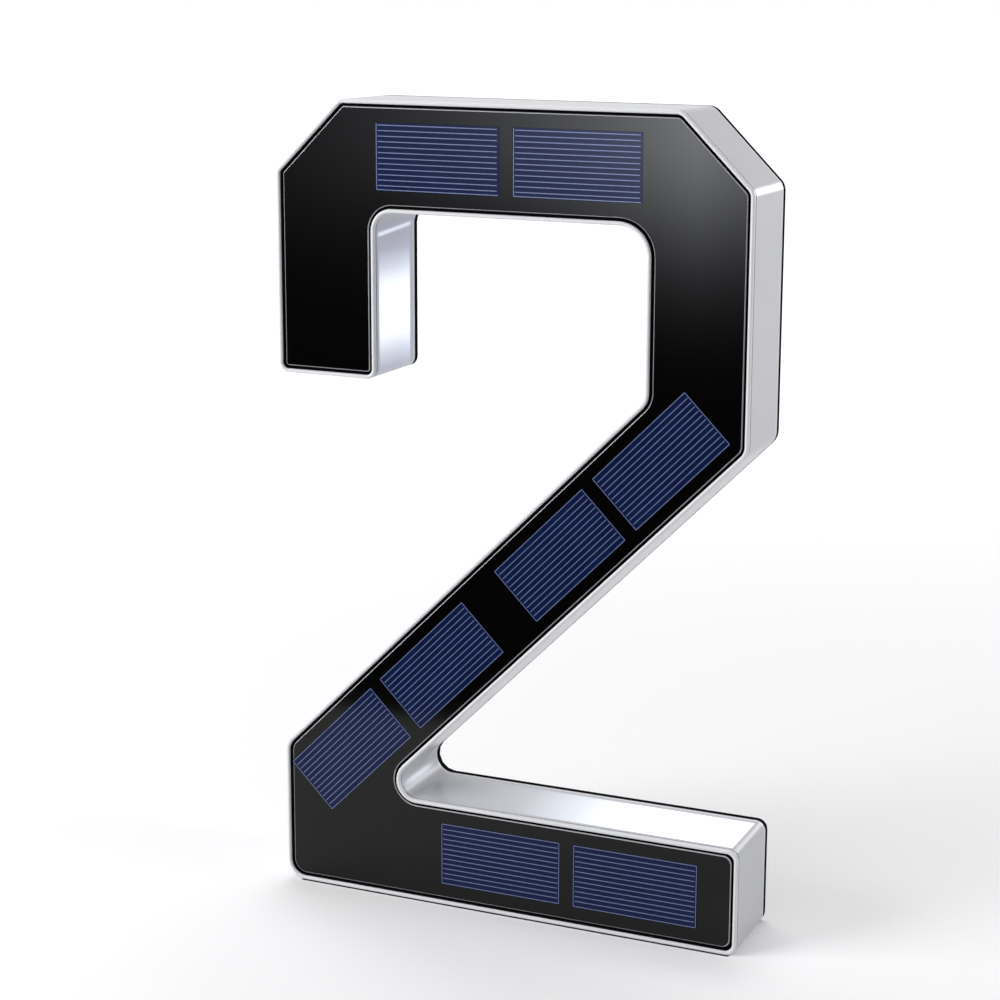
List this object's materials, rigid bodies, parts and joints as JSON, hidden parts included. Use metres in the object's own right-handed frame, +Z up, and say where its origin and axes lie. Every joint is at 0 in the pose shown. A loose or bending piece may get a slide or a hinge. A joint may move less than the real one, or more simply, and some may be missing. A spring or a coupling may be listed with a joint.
{
  "type": "solar house number sign",
  "caption": "Solar house number in the shape of a numeral 2: black solar face, translucent side wall, lights inside, keyhole back and power button.",
  "frame": {"origin": "bottom centre of the whole sign, where it stands on its lower bar", "axes": "+X to the right seen from the front, +Y from the face into the wall, +Z up"},
  "size_m": [0.0976, 0.0186, 0.16],
  "materials": {
    "shell_plastic": "milky translucent, glossy",
    "face_black": "polished black",
    "cell_silicon": "dark blue with fine silver finger lines under a glossy coat",
    "tape_foam": "matt",
    "cover_plastic": "fine moulded texture",
    "seal_rubber": "matt",
    "screw_steel": "plated",
    "board_white": "solder mask",
    "board_green": "solder mask",
    "led_package": "phosphor window in a white body",
    "chip_black": "moulded",
    "ferrite": "dull",
    "can_aluminium": "satin",
    "connector_nylon": "natural",
    "switch_plastic": "moulded",
    "plunger_plastic": "moulded",
    "button_rubber": "silicone",
    "battery_wrap": "shrink film",
    "contact_nickel": "nickel plated",
    "wire_red": "insulation",
    "wire_black": "insulation"
  },
  "bodies": {
    "sign": {"side_shell": "shell_plastic", "front_panel": "face_black", "solar_cell_1": "cell_silicon", "solar_cell_2": "cell_silicon", "solar_cell_3": "cell_silicon", "solar_cell_4": "cell_silicon", "solar_cell_5": "cell_silicon", "solar_cell_6": "cell_silicon", "solar_cell_7": "cell_silicon", "solar_cell_8": "cell_silicon", "panel_tape": "tape_foam", "rear_cover": "cover_plastic", "rear_seal": "seal_rubber", "cover_screws": "screw_steel", "board_screws": "screw_steel", "led_board_top": "board_white", "leds_top": "led_package", "led_board_stub": "board_white", "leds_stub": "led_package", "led_board_upper": "board_white", "leds_upper": "led_package", "led_board_lower": "board_white", "leds_lower": "led_package", "led_board_bottom": "board_white", "leds_bottom": "led_package", "leds_stem": "led_package", "control_board": "board_green", "driver_chip": "chip_black", "inductor": "ferrite", "capacitor": "can_aluminium", "battery_socket": "connector_nylon", "battery_plug": "connector_nylon", "switch_body": "switch_plastic", "battery": "battery_wrap", "battery_holder": "cover_plastic", "battery_contact": "contact_nickel", "spring_plate": "contact_nickel", "battery_spring": "contact_nickel", "panel_lead_red": "wire_red", "panel_lead_black": "wire_black", "battery_lead_red": "wire_red", "battery_lead_black": "wire_black", "top_lead_red": "wire_red", "top_lead_black": "wire_black", "stub_lead_red": "wire_red", "stub_lead_black": "wire_black", "upper_lead_red": "wire_red", "upper_lead_black": "wire_black", "long_lead_red": "wire_red", "long_lead_black": "wire_black", "bottom_lead_red": "wire_red", "bottom_lead_black": "wire_black"},
    "button": {"power_button": "button_rubber", "switch_plunger": "plunger_plastic"}
  },
  "joints": [
    {"name": "button_press", "type": "slide", "parent": "sign", "child": "button", "axis": [0, -1, 0], "range_m": [0, 0.0008], "stiffness_N_per_m": 1500}
  ]
}
